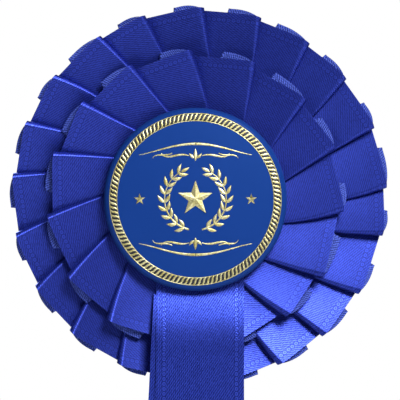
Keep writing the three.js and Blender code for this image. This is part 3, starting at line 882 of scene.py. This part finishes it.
def stroke(path, half_width, height=0.00014, columns=7, material_index=0):
    """Foil along a path of (x, z) points: its half width at each point times an across share from
    -1 to 1, and a rise of height * (1 - share ** 2) * (half width / widest) ** 0.5."""
    path = np.asarray(path, float)
    half_width = np.broadcast_to(np.asarray(half_width, float), len(path))
    way = np.gradient(path, axis=0)
    way /= np.linalg.norm(way, axis=1, keepdims=True)
    left = np.stack([-way[:, 1], way[:, 0]], -1)
    share = np.linspace(-1, 1, columns)
    plan = path[:, None] + left[:, None] * (share[None, :, None] * half_width[:, None, None])
    rise = height * (1 - share[None, :] ** 2) * (half_width[:, None] / half_width.max()) ** 0.5
    stamp(plan, rise, material_index)


def lens(start, heading, length, width, bend=0.0, steps=11):
    """A leaf: a path of constant bend from a start along a heading, as wide as width * sin(pi *
    share ** 0.85), and almost pointed at both ends."""
    share = np.linspace(0, 1, steps)
    angle = heading + bend * (share - 0.5)
    moves = np.stack([np.cos(angle), np.sin(angle)], -1)[:-1] * length / (steps - 1)
    path = np.array(start) + np.concatenate([[[0, 0]], np.cumsum(moves, 0)])
    stroke(path, width / 2 * np.maximum(np.sin(math.pi * share ** 0.85), 0.04))


def flipped(angle, x_sign, z_sign):
    """A heading after flipping x and z by their signs."""
    return math.atan2(z_sign * math.sin(angle), x_sign * math.cos(angle))


# Rope border: a dark ground ring, slanted twists across it and a thin line along each side.
rope_low, rope_high = 0.0214, 0.0234
rope_middle = (rope_low + rope_high) / 2
ring_angle = np.linspace(0, 2 * math.pi, 193)
ring_path = rope_middle * np.stack([np.cos(ring_angle), np.sin(ring_angle)], -1)
stroke(ring_path, (rope_high - rope_low) / 2 * 0.94, 0.00004, columns=5, material_index=1)
twist_count = 120
twist_pitch = 2 * math.pi / twist_count
twist_share = np.linspace(0, 1, 9)
twist_radius = rope_low + (rope_high - rope_low) * twist_share
twist_half = 0.30 * twist_pitch * rope_middle * np.sin(math.pi * (0.12 + 0.76 * twist_share))
twist_slant, twist_curve = 1.15, 0.12
twist_lean = twist_slant * (twist_share - 0.5) + twist_curve * np.sin(2 * math.pi * twist_share)
line_half, foil_rise = 0.00013, 0.0001
for twist in range(twist_count):
    lean_angle = twist_pitch * (twist + twist_lean)
    twist_path = twist_radius[:, None] * np.stack([np.sin(lean_angle), np.cos(lean_angle)], -1)
    stroke(twist_path, twist_half, foil_rise, columns=5)
for line_radius in (rope_low, rope_high):
    stroke(ring_path * line_radius / rope_middle, line_half, foil_rise, columns=5)

# Laurel wreath: a stem each side from the bottom, with pairs of leaves and one at its tip.
wreath_radius = 0.0084
stem_start, stem_end = math.radians(12), math.radians(152)
stem_angle = np.linspace(stem_start, stem_end, 40)
leaf_pairs = 9


def wreath_side(x_sign):
    """One side of the wreath: a tapering stem, its pairs of leaves and the leaf at its tip."""
    stem = wreath_radius * np.stack([x_sign * np.sin(stem_angle), -np.cos(stem_angle)], -1)
    stroke(stem, np.linspace(0.00028, 0.00012, len(stem)), foil_rise, columns=5)
    for pair in range(leaf_pairs):
        angle = stem_start + (stem_end - stem_start) * (pair + 0.6) / leaf_pairs
        foot = wreath_radius * np.array([x_sign * math.sin(angle), -math.cos(angle)])
        for side in (-1, 1):
            lens(foot, flipped(angle + side * 0.62, x_sign, 1), 0.0029, 0.00105, -side * x_sign * 0.5)
    tip = wreath_radius * np.array([x_sign * math.sin(stem_end), -math.cos(stem_end)])
    lens(tip, flipped(stem_end, x_sign, 1), 0.0026, 0.001)


for x_sign in (1, -1):
    wreath_side(x_sign)

# Stars: ten flat facets from a raised centre to the points and the notches between them.
corners = 10
layer_size = corners + 1
star_parts = []


def add_star(centre, outer_radius, height):
    """A five-pointed star whose ridges run from the raised centre to its points. Each of its two
    layers has its ten corners and then its centre."""
    notch_radius = outer_radius * 0.40
    step = np.arange(corners)
    is_point = step % 2 == 0
    angle = 2 * math.pi * step / corners
    radius = np.where(is_point, outer_radius, notch_radius)
    plan = np.array(centre) + radius[:, None] * np.stack([np.sin(angle), np.cos(angle)], -1)
    plan = np.concatenate([plan, [centre]])
    rise = np.append(np.where(is_point, height * 0.35, height * 0.1), height)
    points = np.concatenate([on_badge(plan, rise), on_badge(plan, -foil_sink)])
    after = (step + 1) % corners
    top = np.stack([np.full(corners, corners), after, step], -1)
    bottom = np.stack([np.full(corners, corners), step, after], -1) + layer_size
    band = np.stack([step, after, after + layer_size, step + layer_size], -1)
    star_parts.append((points, [*top.tolist(), *bottom.tolist(), *band.tolist()]))


add_star((0, 0.0002), 0.0049, 0.0007)
for small_x in (-0.0152, 0.0152):
    add_star((small_x, 0.0), 0.0016, 0.0004)


scroll_rise = 0.00012


def scroll(start, heading, length, bend_start, bend_end, width, x_sign, z_sign, steps=60):
    """A foil scroll: its heading turns at a rate that runs from bend_start to bend_end, in turns
    of angle per length, with the share cubed, so that it ends in a curl."""
    share = np.linspace(0, 1, steps)
    rate = bend_start + (bend_end - bend_start) * share ** 3
    angle = heading + np.cumsum(rate) / steps
    step = length / (steps - 1)
    path = np.array(start) + np.cumsum(np.stack([np.cos(angle), np.sin(angle)], -1) * step, 0)
    path *= (x_sign, z_sign)
    half = width / 2 * (0.35 + 0.65 * np.sin(math.pi * np.clip(share * 1.1, 0, 1)))
    if x_sign * z_sign < 0:
        path, half = path[::-1], half[::-1]
    stroke(path, half, scroll_rise, columns=5)


def flourish_quarter(x_sign, z_sign):
    """A quarter of the scrollwork: a long tapering sweep, z = foot + rise * cos(pi / 2 * share)
    ** 1.3, two small scrolls beneath it and a side petal of the middle bud."""
    share = np.linspace(0, 1, 50)
    sweep_x = 0.0154 * share
    sweep_z = 0.0121 + 0.0030 * np.cos(math.pi / 2 * share) ** 1.3
    sweep = np.stack([x_sign * sweep_x, z_sign * sweep_z], -1)
    sweep_half = 0.0003 * (1 - share) + 0.00008
    handed = x_sign * z_sign
    stroke(sweep[::handed], sweep_half[::handed], scroll_rise, columns=5)
    scroll((0.0016, 0.0118), 0.35, 0.0080, -1.4, 7.5, 0.0006, x_sign, z_sign)
    scroll((0.0062, 0.0126), -0.5, 0.0058, 1.3, -7.0, 0.0005, x_sign, z_sign)
    petal_foot = (x_sign * 0.0002, z_sign * 0.0112)
    lens(petal_foot, flipped(0.75, x_sign, z_sign), 0.0021, 0.0008, 0.6 * handed)


for z_sign in (1, -1):
    for x_sign in (1, -1):
        flourish_quarter(x_sign, z_sign)
for z_sign in (1, -1):
    lens((0, z_sign * 0.0104), flipped(math.pi / 2, 1, z_sign), 0.0034, 0.0011)

foil_points, foil_faces, foil_materials = [], [], []
for part_points, part_quads, part_material in foil_parts:
    foil_faces.append(part_quads + sum(map(len, foil_points)))
    foil_points.append(part_points)
    foil_materials.append(np.full(len(part_quads), part_material))
foil_stamp = put_mesh(
    "badge_foil", np.concatenate(foil_points), np.concatenate(foil_faces), [gold_foil, gold_ground],
    face_materials=np.concatenate(foil_materials),
)
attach(foil_stamp, "rosette")
star_points = np.concatenate([points for points, _ in star_parts])
star_faces = [
    [corner + 2 * layer_size * number for corner in face]
    for number, (_, faces) in enumerate(star_parts)
    for face in faces
]
stars = put_mesh("badge_stars", star_points, star_faces, [gold_foil], smooth=False)
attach(stars, "rosette")

# ---------------------------------------------------------------------------------------------
# Brooch pin: a nickel-plated steel bar that a foam pad sticks to the back card, with a pin wire on
# a rivet and a turning catch barrel.

nickel = metal_material(
    "nickel_plate", (0.80, 0.78, 0.74, 1), (0.60, 0.58, 0.54, 1), roughness=0.2, coarse=400
)
for metal_name in ("brooch_bar", "brooch_rivet", "brooch_pin", "brooch_catch_barrel"):
    dress(metal_name, nickel)
